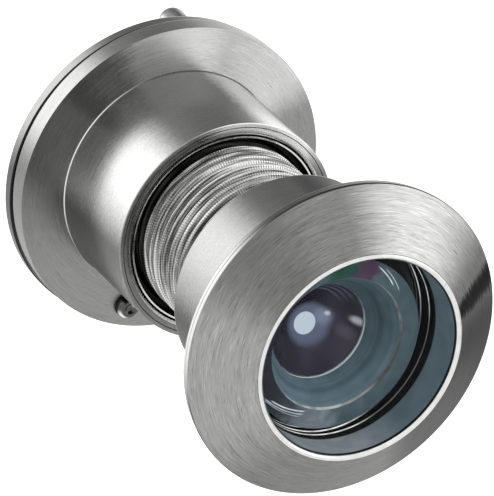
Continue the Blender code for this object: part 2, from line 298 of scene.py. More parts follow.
class Graph:
    """A small wrapper that builds shader nodes and links them by input name or index."""

    def __init__(self, name, tree=None):
        if tree is None:
            self.material = bpy.data.materials.new(name)
            self.material.use_nodes = True
            tree = self.material.node_tree
        self.tree = tree
        self.tree.nodes.clear()

    def add(self, kind, settings=None, **inputs):
        node = self.tree.nodes.new(kind)
        for key, value in (settings or {}).items():
            setattr(node, key, value)
        for key, value in inputs.items():
            self.feed(node, key.replace("_", " "), value)
        return node

    def feed(self, node, key, value):
        socket = node.inputs[int(key[1:])] if key[:1] == "i" and key[1:].isdigit() else node.inputs[key]
        if isinstance(value, bpy.types.NodeSocket):
            self.tree.links.new(value, socket)
        else:
            socket.default_value = value

    def math(self, operation, a, b=0.0, c=0.0, clamp=False):
        node = self.add("ShaderNodeMath", {"operation": operation, "use_clamp": clamp}, i0=a, i1=b, i2=c)
        return node.outputs[0]

    def vector(self, operation, a, b=(0.0, 0.0, 0.0), output=0):
        node = self.add("ShaderNodeVectorMath", {"operation": operation}, i0=a, i1=b)
        return node.outputs[output]

    def span(self, value, low, high, to_low=0.0, to_high=1.0, smooth=True):
        """value mapped from low..high to to_low..to_high, with eased ends."""
        kind = "SMOOTHSTEP" if smooth else "LINEAR"
        node = self.add("ShaderNodeMapRange", {"interpolation_type": kind}, Value=value)
        self.feed(node, "From Min", low)
        self.feed(node, "From Max", high)
        self.feed(node, "To Min", to_low)
        self.feed(node, "To Max", to_high)
        return node.outputs["Result"]

    def noise(self, vector, scale, detail=2.0, roughness=0.5):
        node = self.add("ShaderNodeTexNoise", Vector=vector, Scale=scale, Detail=detail, Roughness=roughness)
        return node.outputs["Fac"]

    def ramp(self, value, stops, interpolation="LINEAR"):
        """A colour ramp; stops are (place, grey or colour)."""
        node = self.add("ShaderNodeValToRGB", Fac=value)
        band = node.color_ramp
        band.interpolation = interpolation
        while len(band.elements) < len(stops):
            band.elements.new(0.5)
        for element, (place, tone) in zip(band.elements, stops):
            element.position = place
            colour = (tone, tone, tone) if isinstance(tone, float) else tone
            element.color = (*colour, 1.0)
        return node.outputs["Color"]

    def blend(self, factor, a, b, mode="MIX"):
        node = self.add("ShaderNodeMix", {"data_type": "RGBA", "blend_type": mode})
        self.feed(node, "i0", factor)
        self.feed(node, "i6", a)
        self.feed(node, "i7", b)
        return node.outputs[2]

    def swing(self, noise, amount):
        """A noise centred on zero and scaled."""
        return self.math("MULTIPLY", self.math("SUBTRACT", noise, 0.5), amount)

    def toward(self, angle, centre):
        """1 where angle, in radians, lies at centre, in degrees, falling to -1 on the far side."""
        return self.math("COSINE", self.math("SUBTRACT", angle, math.radians(centre)))

    def sector(self, near, half, lift):
        """lift where near is 1, easing to nothing half degrees away."""
        return self.span(near, math.cos(math.radians(half)), 1.0, 0.0, lift)

    def grey(self, level, blue=1.0):
        """A grey of this level with its blue scaled, for a warm or cool metal."""
        if blue != 1.0:
            return self.colour(level, level, self.math("MULTIPLY", level, blue))
        return self.colour(level, level, level)

    def colour(self, red, green, blue):
        node = self.add("ShaderNodeCombineColor", Red=red, Green=green, Blue=blue)
        return node.outputs[0]

    def finish(self, shader):
        out = self.add("ShaderNodeOutputMaterial")
        self.tree.links.new(shader, out.inputs["Surface"])
        return self.material


def srgb(*values):
    """Linear colour from 0..255 display values."""
    out = []
    for v in values:
        c = v / 255.0
        out.append(c / 12.92 if c <= 0.04045 else ((c + 0.055) / 1.055) ** 2.4)
    return tuple(out) if len(out) > 1 else out[0]


def polar(g):
    """Object-space place, radius, place along the axis, angle and turn (0 to 1), clockwise from the top."""
    here = g.add("ShaderNodeTexCoord").outputs["Object"]
    split = g.add("ShaderNodeSeparateXYZ", Vector=here)
    x, y, z = split.outputs
    radius = g.math("SQRT", g.math("ADD", g.math("MULTIPLY", x, x), g.math("MULTIPLY", z, z)))
    angle = g.math("ARCTAN2", x, z)
    turn = g.math("FRACT", g.math("DIVIDE", angle, 2.0 * math.pi))
    return here, radius, y, angle, turn


def around(g, here):
    """World-space direction of the brushing, round the axis."""
    tangent = g.vector("CROSS_PRODUCT", (0.0, 1.0, 0.0), here)
    tangent = g.vector("NORMALIZE", tangent)
    node = g.add(
        "ShaderNodeVectorTransform",
        {"vector_type": "VECTOR", "convert_from": "OBJECT", "convert_to": "WORLD"},
        Vector=tangent,
    )
    return node.outputs[0]


FINE_RELIEF = 0.02 * MM  # height of the finest surface marks


def display_level(g, tone, floor):
    """Linear level of a display brightness from 0 to 255, with a floor as a share of white."""
    return g.math("POWER", g.math("MAXIMUM", g.math("DIVIDE", tone, 255.0), floor), 2.2)


def brushed(name, base, lobes, across, grain, roughness=0.30, cloud=0.0, glancing=1.0):
    """Satin nickel brushed in circles about the axis.

    base is the display brightness (0 to 255), and lobes adds painted highlight and shade sectors, which stand
    in for the light and dark sectors that circular brushing reflects, as (degrees clockwise from the top,
    half width in degrees, brightness added). The painted sectors stay put in the room when the piece turns.
    The brush lines, spaced along the radius or the axis, turn with it. cloud mottles the painted sectors'
    edges, as on a blasted surface, and glancing is how far a face seen edge-on brightens.
    """
    g = Graph(name)
    here, radius, y, angle, _ = polar(g)
    run = radius if across == "radius" else y
    x_round = g.math("SINE", angle)
    z_round = g.math("COSINE", angle)

    def lines(spacing_mm, length, detail):
        spot = g.add(
            "ShaderNodeCombineXYZ",
            X=g.math("MULTIPLY", run, 1.0 / (spacing_mm * MM)),
            Y=g.math("MULTIPLY", x_round, length),
            Z=g.math("MULTIPLY", z_round, length),
        )
        return g.noise(spot.outputs[0], 1.0, detail, 0.6)

    broad = lines(spacing_mm=0.9, length=1.6, detail=2.0)
    fine = lines(spacing_mm=0.12, length=3.0, detail=3.0)
    scratch = lines(spacing_mm=0.055, length=9.0, detail=1.0)
    place = g.add("ShaderNodeNewGeometry").outputs["Position"]
    px, _, pz = g.add("ShaderNodeSeparateXYZ", Vector=place).outputs
    facing = g.math("ARCTAN2", px, pz)
    ragged = 0.22 * min(1.0, grain + 0.1)
    facing = g.math("ADD", facing, g.swing(fine, ragged))
    specks = 0.0
    if cloud:
        patches = g.noise(here, 2600.0, 4.0, 0.65)
        specks = g.swing(g.noise(here, 5200.0, 2.0, 0.7), 3.2 * cloud)
        facing = g.math("ADD", facing, g.swing(patches, cloud))
    # The painted highlight and shade sectors, added to the brightness.
    tone = base
    for centre, half, lift in lobes:
        tone = g.math("ADD", tone, g.sector(g.toward(facing, centre), half, lift))
    level = display_level(g, tone, 0.05)
    gain = g.math("ADD", 1.0, g.swing(fine, 0.55 * grain))
    gain = g.math("ADD", gain, g.swing(broad, 0.22 * grain))
    gain = g.math("ADD", gain, specks)
    bright = g.span(scratch, 0.60, 0.70, 0.0, 0.26 * grain)
    dark = g.span(scratch, 0.40, 0.30, 0.0, -0.26 * grain)
    level = g.math("MULTIPLY", level, g.math("ADD", g.math("ADD", gain, bright), dark))
    bump = g.add(
        "ShaderNodeBump",
        Strength=0.35 * grain,
        Distance=FINE_RELIEF,
        Height=g.math("ADD", fine, g.math("MULTIPLY", scratch, 0.5)),
    )
    shader = g.add(
        "ShaderNodeBsdfPrincipled",
        Base_Color=g.grey(level, 0.99),
        Metallic=1.0,
        Roughness=g.span(fine, 0.2, 0.8, roughness - 0.05, roughness + 0.08),
        Specular_Tint=(glancing, glancing, glancing, 1.0),
        Anisotropic=0.55,
        Tangent=around(g, here),
        Normal=bump.outputs[0],
    )
    return g.finish(shader.outputs[0])


def polished(name, tone=0.78, roughness=0.10):
    """Bright plated metal with hairline wear."""
    g = Graph(name)
    here = g.add("ShaderNodeTexCoord").outputs["Object"]
    smudge = g.noise(here, 900.0, 3.0)
    hair = g.noise(here, 6000.0, 2.0)
    level = g.span(smudge, 0.3, 0.7, tone * 0.86, tone, smooth=False)
    bump = g.add("ShaderNodeBump", Strength=0.25, Distance=FINE_RELIEF, Height=hair)
    shader = g.add(
        "ShaderNodeBsdfPrincipled",
        Base_Color=g.grey(level, 0.975),
        Metallic=1.0,
        Roughness=g.span(smudge, 0.3, 0.7, roughness, roughness + 0.12),
        Normal=bump.outputs[0],
    )
    return g.finish(shader.outputs[0])


def chrome(name, base, lights):
    """Dark chrome on a small round head, with its reflections painted in by the way each point faces: lights
    are painted highlights and dark spots, as (direction, half width in degrees, brightness added).
    """
    g = Graph(name)
    here = g.add("ShaderNodeTexCoord").outputs["Object"]
    normal = g.add("ShaderNodeNewGeometry").outputs["Normal"]
    tone = g.math("ADD", base, g.swing(g.noise(here, 2500.0, 3.0), 40.0))
    for direction, half, lift in lights:
        near = g.vector("DOT_PRODUCT", normal, Vector(direction).normalized()[:], output=1)
        tone = g.math("ADD", tone, g.sector(near, half, lift))
    # Painted shade on the edge of the head seen side-on.
    rim = g.add("ShaderNodeLayerWeight", Blend=0.5).outputs["Facing"]
    tone = g.math("SUBTRACT", tone, g.span(rim, 0.62, 0.95, 0.0, 60.0))
    colour = g.grey(display_level(g, tone, 0.06))
    shader = g.add("ShaderNodeBsdfPrincipled", Base_Color=colour, Metallic=1.0, Roughness=0.16)
    return g.finish(shader.outputs[0])


CHATTER_MARKS = 205.0  # tool marks in one turn of the thread


def machined_thread(name, tone, roughness):
    """Plated thread: painted shade in the roots, tool lines along the ridges, and chatter marks whose dots
    also carry a painted glitter of highlights, with the thread painted lighter towards the top.

    What lies inside the room half's sleeve is painted dark, as the sleeve's shadow.
    """
    g = Graph(name)
    here, radius, y, angle, turn = polar(g)
    along = g.math("SUBTRACT", g.math("DIVIDE", y, PITCH * MM), turn)
    # One pitch is one circle in the noise, so that the lines meet where the angle starts again
    wound = g.math("MULTIPLY", along, 2.0 * math.pi)
    drift = g.math("DIVIDE", y, 2.2 * PITCH * MM)
    spot = g.add(
        "ShaderNodeCombineXYZ",
        X=g.math("MULTIPLY", g.math("SINE", wound), 1.6),
        Y=g.math("MULTIPLY", g.math("COSINE", wound), 1.6),
        Z=g.math("ADD", drift, g.math("MULTIPLY", g.math("SINE", angle), 1.2)),
    )
    cut_lines = g.add(
        "ShaderNodeTexNoise",
        {"noise_dimensions": "4D"},
        Vector=spot.outputs[0],
        W=g.math("MULTIPLY", g.math("COSINE", angle), 1.2),
        Scale=1.0,
        Detail=3.0,
        Roughness=0.75,
    )
    lines = g.span(cut_lines.outputs["Fac"], 0.38, 0.60, 0.16, 1.42)
    dots = g.math("SINE", g.math("ADD", g.math("MULTIPLY", angle, CHATTER_MARKS), wound))
    place = g.add("ShaderNodeNewGeometry").outputs["Position"]
    px, py, pz = g.add("ShaderNodeSeparateXYZ", Vector=place).outputs
    # Painted light towards the top: the thread is lighter there, and its chatter dots glitter in patches.
    top = g.toward(g.math("ARCTAN2", px, pz), 22.0)
    # Painted shadow on what lies inside the room half's sleeve.
    inside = g.span(py, (SLEEVE_RIM + 0.30) * MM, (SLEEVE_RIM + 0.55) * MM, 1.0, 0.05)
    patch = g.span(g.noise(here, 260.0, 2.0), 0.40, 0.58, 0.10, 0.60)
    patch = g.math("MULTIPLY", patch, g.span(top, 0.45, 0.9, 0.45, 1.0))
    tone = g.span(top, 0.55, 1.0, tone, tone * 1.45)
    glitter = g.math("ADD", 1.0, g.math("MULTIPLY", dots, patch))
    level = g.math("MULTIPLY", g.math("MULTIPLY", lines, glitter), tone)
    # Painted shade in the roots.
    level = g.math("MULTIPLY", level, g.span(radius, ROOT_R * MM, CREST_R * MM, 0.12, 1.0))
    level = g.math("MULTIPLY", level, inside)
    height = g.math("ADD", lines, g.math("MULTIPLY", dots, patch))
    bump = g.add("ShaderNodeBump", Strength=0.35, Distance=1.5 * FINE_RELIEF, Height=height)
    shader = g.add(
        "ShaderNodeBsdfPrincipled",
        Base_Color=g.grey(level, 0.985),
        Metallic=1.0,
        Roughness=g.span(g.noise(here, 900.0, 3.0), 0.3, 0.7, roughness, roughness + 0.12),
        Normal=bump.outputs[0],
    )
    return g.finish(shader.outputs[0])


def glinting(name, lobes):
    """A black turned edge whose glints are painted in as a glow, its level by angle standing in for the light
    it catches; lobes are (degrees clockwise, half width, level added).
    """
    g = Graph(name)
    here, _, _, angle, _ = polar(g)
    level = 0.10
    for centre, half, lift in lobes:
        level = g.math("ADD", level, g.sector(g.toward(angle, centre), half, lift))
    level = g.math("MULTIPLY", level, g.span(g.noise(here, 700.0, 2.0), 0.35, 0.6, 0.55, 1.0))
    light = g.add("ShaderNodeEmission", Color=g.grey(level), Strength=0.85)
    return g.finish(light.outputs[0])


def blackened(name, tone=14, roughness=0.42, metallic=0.3):
    """Black anodised or rubber surface with a dusty, fine-grained sheen."""
    g = Graph(name)
    here = g.add("ShaderNodeTexCoord").outputs["Object"]
    grain = g.noise(here, 9000.0, 3.0)
    dust = g.noise(here, 500.0, 4.0)
    level = g.math("MULTIPLY", g.span(dust, 0.3, 0.75, 0.7, 1.6), srgb(tone))
    bump = g.add("ShaderNodeBump", Strength=0.3, Distance=FINE_RELIEF, Height=grain)
    shader = g.add(
        "ShaderNodeBsdfPrincipled",
        Base_Color=g.grey(level, 1.08),
        Metallic=metallic,
        Roughness=g.span(dust, 0.3, 0.7, roughness, roughness + 0.15),
        Normal=bump.outputs[0],
    )
    return g.finish(shader.outputs[0])


def clear_glass(name, tint, straight, glancing):
    """A polished glass face: clear, with dust and a mirror share that grows towards a glancing angle."""
    g = Graph(name)
    here = g.add("ShaderNodeTexCoord").outputs["Object"]
    dust = g.noise(here, 2500.0, 4.0)
    slant = g.add("ShaderNodeLayerWeight", Blend=0.5).outputs["Facing"]
    share = g.math("ADD", straight, g.math("MULTIPLY", g.math("POWER", slant, 4.0), glancing - straight))
    haze = g.span(dust, 0.4, 0.8, 0.02, 0.08)
    mirror = g.add("ShaderNodeBsdfGlossy", Color=(0.85, 0.92, 1.0, 1.0), Roughness=haze)
    through = g.add("ShaderNodeBsdfTransparent", Color=(*tint, 1.0))
    mixed = g.add("ShaderNodeMixShader", Fac=share)
    g.tree.links.new(through.outputs[0], mixed.inputs[1])
    g.tree.links.new(mirror.outputs[0], mixed.inputs[2])
    return g.finish(mixed.outputs[0])


def still_glass(name, tint):
    """An inner glass face, seen only as a faint tint with specks of dust."""
    g = Graph(name)
    here = g.add("ShaderNodeTexCoord").outputs["Object"]
    dust = g.span(g.noise(here, 2500.0, 4.0), 0.60, 0.72, 1.0, 0.93)
    through = g.add("ShaderNodeBsdfTransparent", Color=scaled(g, tint, dust))
    return g.finish(through.outputs[0])


def tinted_glass(name, colour_of, glow, roughness=0.5):
    """A glass face seen as a dim coloured sheet that glows with painted light, for the deep faces inside the
    objective.

    colour_of takes the graph and its polar values and returns a colour socket.
    """
    g = Graph(name)
    values = polar(g)
    shader = g.add(
        "ShaderNodeBsdfPrincipled",
        Base_Color=colour_of(g, values),
        Roughness=roughness,
    )
    shader.inputs["Specular IOR Level"].default_value = 0.15
    # The colour also glows, by glow, as painted light.
    g.tree.links.new(shader.inputs["Base Color"].links[0].from_socket, shader.inputs["Emission Color"])
    shader.inputs["Emission Strength"].default_value = glow
    return g.finish(shader.outputs[0])


# Where things seem to lie through the thick front lens: (radius, station) and (right, up, lean) of each ring
EDGE_END, EDGE_SEEN = (11.86, -0.30), (0.0, 0.0, 0.6)
UPPER_STEP, UPPER_SEEN = (11.80, 0.80), (0.0, 0.0, 0.8)
LOWER_STEP, LOWER_SEEN = (11.75, 2.20), (0.0, 0.0, 1.6)
DEEP_STEP, DEEP_SEEN = (11.70, 3.10), (0.0, 0.0, 1.5)
BOWL_RIM, BOWL_SEEN = (10.43, 0.32), (-0.61, -0.50, 0.0)
LIP, LIP_SEEN = (8.21, 0.0), (-0.49, -0.41, 0.0)
DOME, DOME_SEEN = (5.68, 3.96), (-0.76, -0.63, 0.0)

TEAL = srgb(76, 90, 97)
DEEP_TEAL = srgb(58, 70, 76)
BOWL_TEAL = srgb(63, 77, 83)


def mottled(g, here, scale=700.0, amount=0.25):
    return g.span(g.noise(here, scale, 3.0), 0.3, 0.7, 1.0 - amount, 1.0 + amount)


def scaled(g, colour, gain):
    node = g.vector("SCALE", colour)
    g.feed(node.node, "Scale", gain)
    return node


def wall_colour(g, values):
    """The objective's ground edge: teal, with a paler painted sheen towards the lower left."""
    here, _, _, angle, _ = values
    near = g.toward(angle, -165.0)
    colour = g.blend(g.span(near, 0.7, 1.0), (*TEAL, 1.0), (*srgb(118, 124, 128), 1.0))
    return scaled(g, colour, mottled(g, here, 500.0, 0.12))


def bowl_colour(g, values):
    """The hollow face's outer zone: teal to the right, painted dark to the left, with painted coating
    reflections, a pale painted sheen low down and painted glints on top.
    """
    here, radius, _, angle, _ = values
    degrees = g.math("MULTIPLY", angle, 180.0 / math.pi)
    blurred = g.math("ADD", angle, g.swing(g.noise(here, 600.0, 3.0), 0.5))
    colour = (*BOWL_TEAL, 1.0)
    for centre, half, tone in BOWL_PAINTED_TINTS:
        share = g.math("POWER", g.sector(g.toward(blurred, centre), half, 1.0), 2.0)
        colour = g.blend(share, colour, (*srgb(*tone), 1.0))
    for start, end, first, slope, width, strength in PAINTED_GLASS_GLINTS:
        run = g.math("SUBTRACT", degrees, start)
        line = g.math("ADD", first, g.math("MULTIPLY", run, slope))
        away = g.math("ABSOLUTE", g.math("SUBTRACT", g.math("DIVIDE", radius, MM), line))
        ends = g.math("MULTIPLY", g.span(degrees, start, start + 4.0), g.span(degrees, end, end - 4.0))
        mask = g.math("MULTIPLY", g.span(away, width, width * 0.3, 0.0, strength), ends)
        colour = g.blend(mask, colour, (*srgb(200, 206, 208), 1.0))
    return scaled(g, colour, mottled(g, here, 900.0, 0.15))


# Painted reflections and shade round the hollow face: a pale sheen low down, dark to the left, and the
# coating's green and magenta: (degrees clockwise from the top, half width, colour)
BOWL_PAINTED_TINTS = [
    (-157, 27, (104, 112, 118)),
    (-90, 92, (28, 27, 36)),
    (4, 26, (26, 60, 50)),
    (22, 14, (61, 44, 63)),
]
# Painted glints in the hollow face, in degrees and mm: (first degree, last degree, radius at the first,
# growth per degree, half width, strength)
PAINTED_GLASS_GLINTS = [
    (30.0, 52.0, 9.25, -0.045, 0.10, 0.9),
    (36.0, 60.0, 9.35, -0.040, 0.07, 0.6),
    (-152.0, -122.0, 9.05, 0.040, 0.12, 0.8),
    (-152.0, -118.0, 9.45, 0.036, 0.10, 0.6),
    (-150.0, -116.0, 9.85, 0.030, 0.08, 0.4),
]


def funnel_colour(g, values):
    """The mouth of the second lens: teal, with painted shade darker towards its narrow end, painted light
    brightest low down and towards the lower left, and a faint darker ring half-way down.
    """
    here, radius, _, _, turn = values
    x, _, z = g.add("ShaderNodeSeparateXYZ", Vector=here).outputs
    flat = g.add("ShaderNodeCombineXYZ", X=x, Y=0.0, Z=z).outputs[0]
    reach = g.vector("DISTANCE", flat, (-0.62 * MM, 0.0, -0.52 * MM), output=1)
    ring = g.math("ABSOLUTE", g.math("SUBTRACT", reach, 6.75 * MM))
    line = g.span(ring, 0.0, 0.28 * MM, 0.72, 1.0)
    across = g.add("ShaderNodeCombineXYZ", X=g.math("DIVIDE", reach, 0.45 * MM))
    bands = g.noise(across.outputs[0], 1.0, 2.0)
    line = g.math("MULTIPLY", line, g.span(bands, 0.3, 0.7, 0.86, 1.16))
    # Painted light round the mouth: brightest low down and to the lower left, dimmer to the right.
    shade = g.ramp(turn, [(0.0, 0.95), (0.25, 0.85), (0.45, 1.22), (0.62, 1.5), (0.8, 1.0), (1.0, 0.95)])
    # Painted shade: darker teal towards the narrow end.
    colour = g.blend(g.span(radius, 5.6 * MM, 8.0 * MM), (*DEEP_TEAL, 1.0), (*TEAL, 1.0))
    colour = g.blend(1.0, colour, shade, "MULTIPLY")
    return scaled(g, colour, g.math("MULTIPLY", line, mottled(g, here, 600.0, 0.1)))


def lens_hollow(name):
    """The dark violet hollow of the second lens, glowing as painted light and painted lighter towards the
    lower right, with painted reflections of the studio light in its depths.
    """
    g = Graph(name)
    here, _, _, angle, _ = polar(g)
    x, _, z = g.add("ShaderNodeSeparateXYZ", Vector=here).outputs
    flat = g.add("ShaderNodeCombineXYZ", X=x, Y=0.0, Z=z).outputs[0]

    def away(spot):
        return g.vector("DISTANCE", flat, (spot[0] * MM, 0.0, spot[1] * MM), output=1)

    # Painted light: the hollow is lighter towards the lower right.
    side = g.math("MULTIPLY", g.toward(angle, 150.0), 0.5)
    body = g.blend(g.math("ADD", side, 0.5), (*srgb(30, 30, 38), 1.0), (*srgb(62, 57, 68), 1.0))
    body = scaled(g, body, mottled(g, here, 350.0, 0.25))
    for spot, size, colour, strength in HOLLOW_PAINTED_REFLECTIONS:
        reach = away(spot)
        glow = g.span(reach, size[1] * MM, size[0] * MM, 0.0, strength)
        body = g.blend(glow, body, (*srgb(*colour), 1.0))
    rim = away((DOME_SEEN[0], DOME_SEEN[1]))
    upper = g.span(g.toward(angle, 10.0), 0.35, 0.9)
    for radius_mm in HOLLOW_ARCS:
        near = g.math("ABSOLUTE", g.math("SUBTRACT", rim, radius_mm * MM))
        share = g.math("MULTIPLY", g.span(near, 0.20 * MM, 0.0, 0.0, 0.8), upper)
        body = g.blend(share, body, (*srgb(88, 90, 108), 1.0))
    # The hollow glows, almost wholly by emission, as painted light.
    light = g.add("ShaderNodeEmission", Color=body, Strength=0.8)
    shell = g.add("ShaderNodeBsdfPrincipled", Base_Color=body, Roughness=0.08)
    mixed = g.add("ShaderNodeMixShader", Fac=0.94)
    g.tree.links.new(shell.outputs[0], mixed.inputs[1])
    g.tree.links.new(light.outputs[0], mixed.inputs[2])
    return g.finish(mixed.outputs[0])


HOLLOW_ARCS = (5.25, 4.75, 4.2)  # radii of the faint arcs in the hollow's upper part
# Painted reflections of the studio light in the hollow: (place right and up of the axis, (full, faded) radius
# in mm, colour, strength)
HOLLOW_PAINTED_REFLECTIONS = [
    ((-0.25, -1.55), (1.9, 2.95), (106, 112, 134), 0.9),
    ((1.5, -1.0), (0.3, 1.5), (150, 158, 182), 0.55),
    ((2.0, -0.7), (0.1, 0.45), (225, 228, 238), 0.7),
    ((-0.59, -1.53), (1.26, 1.38), (216, 224, 236), 1.0),
    ((4.45, -1.05), (0.1, 0.75), (200, 198, 205), 0.75),
    ((3.36, -2.6), (0.2, 1.2), (98, 90, 97), 0.55),
]


# Painted highlight and shade sectors, standing in for the light and dark sectors of the brushing: (degrees
# clockwise from the top, half width, brightness added)
FACE_PAINTED_SHEEN = [(33, 36, 71), (78, 6, -112), (122, 46, -108), (-42, 26, -17), (-92, 52, 31)]
SLEEVE_PAINTED_SHEEN = [(-55, 36, 129), (33, 19, 114), (60, 24, -100), (-130, 25, -42)]
BOSS_PAINTED_SHEEN = [(-56, 38, 92), (-110, 30, -16), (31, 31, -90)]
INNER_PAINTED_SHEEN = [(-3, 44, 98), (50, 25, 70), (-48, 37, -56), (-31, 17, -45)]
EDGE_PAINTED_SHEEN = [(-48, 28, 88), (-92, 28, 28), (120, 80, -50)]
COVER_PAINTED_SHEEN = [(-48, 32, 80), (-115, 30, -20), (120, 80, -40)]
RIM_PAINTED_SHEEN = [(-66, 42, 175), (12, 50, -30), (-140, 40, 25)]
RIM_SHADE_PAINTED_SHEEN = [(-66, 42, 150), (-130, 40, 40)]
MOUTH_PAINTED_SHEEN = [(-48, 34, 48), (25, 44, 160), (-95, 25, 20)]

FACE = brushed("face_nickel", 136, FACE_PAINTED_SHEEN, "radius", 1.5, glancing=0.8)
TUBE = brushed("sleeve_nickel", 112, SLEEVE_PAINTED_SHEEN, "axis", 0.26, 0.28, 0.16)
BOSS = brushed("boss_nickel", 108, BOSS_PAINTED_SHEEN, "axis", 0.26, 0.28, 0.16, glancing=0.85)
INNER = brushed("inner_flange_nickel", 150, INNER_PAINTED_SHEEN, "radius", 0.9, 0.30, 0.1)
EDGE = brushed("edge_nickel", 118, EDGE_PAINTED_SHEEN, "axis", 0.4, 0.22, 0.12)
COVER_EDGE = brushed("cover_edge_nickel", 106, COVER_PAINTED_SHEEN, "axis", 0.4, 0.22, 0.12)
# The rim comes in a lit copy and a darker painted-shade copy of one finish; the darker one lies on a band
# just behind the rim's largest circle.
RIM = brushed("rim_nickel", 76, RIM_PAINTED_SHEEN, "axis", 0.3, 0.22)
RIM_SHADE = brushed("rim_shade_nickel", 46, RIM_SHADE_PAINTED_SHEEN, "axis", 0.3, 0.22)
MOUTH_FACE = brushed("mouth_nickel", 134, MOUTH_PAINTED_SHEEN, "radius", 1.2, 0.26)
# A painted highlight on the fillet at the sleeve's root, on its upper left.
FILLET = brushed("fillet_nickel", 90, [(-68, 62, 150)], "axis", 0.3, 0.25)
THREAD = machined_thread("thread_nickel", 0.57, 0.16)
# The sleeve's inner thread is painted dark, as shade inside the sleeve.
BORE_THREAD = blackened("bore_thread", 38, 0.40, 0.8)
BRIGHT = polished("bright_nickel", 0.86, 0.08)
# Painted reflections: the knob bright on its left and dark on its crown; the rivet's head bright low on the
# left, dark on top and low on the right.
KNOB_CHROME = chrome("knob_chrome", 124, [((-0.95, -0.1, 0.1), 50, 130), ((0.1, -0.35, 1.0), 20, -110)])
PIN_PAINTED_REFLECTIONS = [((-0.7, -0.45, -0.6), 46, 160), ((0.0, -0.45, 1.0), 44, -75), ((0.7, -0.45, -0.6), 46, -90)]
PIN_CHROME = chrome("pin_chrome", 92, PIN_PAINTED_REFLECTIONS)
LINE = polished("bright_ring", 0.90, 0.14)
SOFT_LINE = polished("soft_ring", 0.55, 0.25)
# Painted glints: glowing edges on the seat ring's steps and the second lens's lip.
GLINT = glinting("seat_step", [(54, 46, 0.7), (-168, 36, 0.95)])
FAINT_GLINT = glinting("deep_step", [(38, 34, 0.45), (-165, 30, 0.6)])
LENS_LIP_GLINT = glinting("lens_lip", [(-165, 55, 0.45), (45, 70, 0.12)])
BLACK = blackened("black_anodised", 13)
# Dark metal for the bores, the steps in the sleeve's mouth and the cover's front chamfer: painted shade.
BORE = blackened("dark_bore", 20, 0.5, 0.5)
RUBBER = blackened("black_rubber", 9, 0.6, 0.0)
FRONT_GLASS = clear_glass("front_glass", (0.97, 0.99, 1.0), 0.006, 0.25)
STILL_GLASS = still_glass("still_glass", (0.94, 0.98, 0.99))
CLEAR = clear_glass("clear_glass", (0.94, 0.98, 0.99), 0.004, 0.02)
# Deep lens faces drawn as tinted sheets that glow with painted light.
WALL = tinted_glass("objective_edge", wall_colour, 0.5)
BOWL = tinted_glass("objective_hollow", bowl_colour, 0.6)
FUNNEL = tinted_glass("second_lens_mouth", funnel_colour, 0.5)
HOLLOW = lens_hollow("second_lens_hollow")


def place(obj, body, slot, *nodes):
    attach(obj, body)
    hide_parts(*nodes)
    return obj


# ---------------------------------------------------------------- street half


def at(station):
    """A station behind the front rim, as a place along the axis in millimetres."""
    return FRONT_RIM + station


def barrel():
    """The street half's turned body, from the lens bore round the flange and boss to the threaded tube."""
    bore = BARREL_BORE_R
    before = softened(
        [
            (bore, at(LENS_SHOULDER), 0.05, 3),
            (LENS_BORE_R, at(LENS_SHOULDER), 0.0, 3),
            (LENS_BORE_R, at(BEZEL_SEAT), 0.0, 3),
            (MOUTH_R, at(BEZEL_SEAT), 0.0, 3),
            (MOUTH_R, MOUTH + 0.02, 0.05, 0),
            (FLANGE_R, FRONT_RIM, 0.1, 5),
            (FLANGE_R - 0.02, at(0.30), 0.0, 6),
            (FLANGE_R - 0.12, at(0.62), 0.0, 5),
            (FLANGE_R - 0.22, at(1.25), 0.15, 1),
            (FLANGE_R - 1.0, at(RIM_BACK), 0.1, 1),
            (BOSS_R, at(RIM_BACK), 0.15, 2),
            (BOSS_R, at(BOSS_BACK), 0.3, 1),
            (ROOT_R, at(BOSS_BACK), 0.05, 4),
        ],
        4,
    )[1:]
    after = [
        (ROOT_R, BARREL_BACK - 0.35, 1),
        (ROOT_R - 0.35, BARREL_BACK, 1),
        (bore, BARREL_BACK, 3),
        (bore, at(RIB[1]), 3),
        (RIB_R, at(RIB[1]), 3),
        (RIB_R, at(RIB[0]), 3),
        (bore, at(RIB[0]), 3),
        (bore, at(LENS_SHOULDER + 0.05), 3),
    ]
    thread = (at(MALE_START), BARREL_BACK - 0.5, ROOT_R, CREST_R, 4)
    obj = threaded("barrel", before, after, thread, [FACE, EDGE, BOSS, BORE, THREAD, RIM, RIM_SHADE])
    return place(obj, "street_half", "satin_nickel", "outer_barrel")


def bezel():
    corners = [
        (RING_R, MOUTH + 0.08, 0.12, 0),
        (12.28, MOUTH - 0.19, 0.12, 0),
        (12.6, MOUTH, 0.08, 0),
        (12.6, at(-3.55), 0.0, 1),
        (RING_R, at(-3.55), 0.0, 1),
    ]
    obj = turned("bezel", softened(corners), [LINE, BORE])
    return place(obj, "street_half", "polished_nickel", "lens_bezel_ring")


def seal():
    obj = plain_ring("lens_seal", 11.88, RING_R, at(-4.35), at(-3.95), RUBBER, 0.02, COLUMNS)
    return place(obj, "street_half", "black_rubber", "front_seal")


# ---------------------------------------------------------------- optics

SEAT_FLOOR = 4.9
HOLLOW_DEPTH = 7.9
LENS_APEX = -2.9
SECOND_LENS_R = 8.25
SECOND_LENS_BACK = 8.7


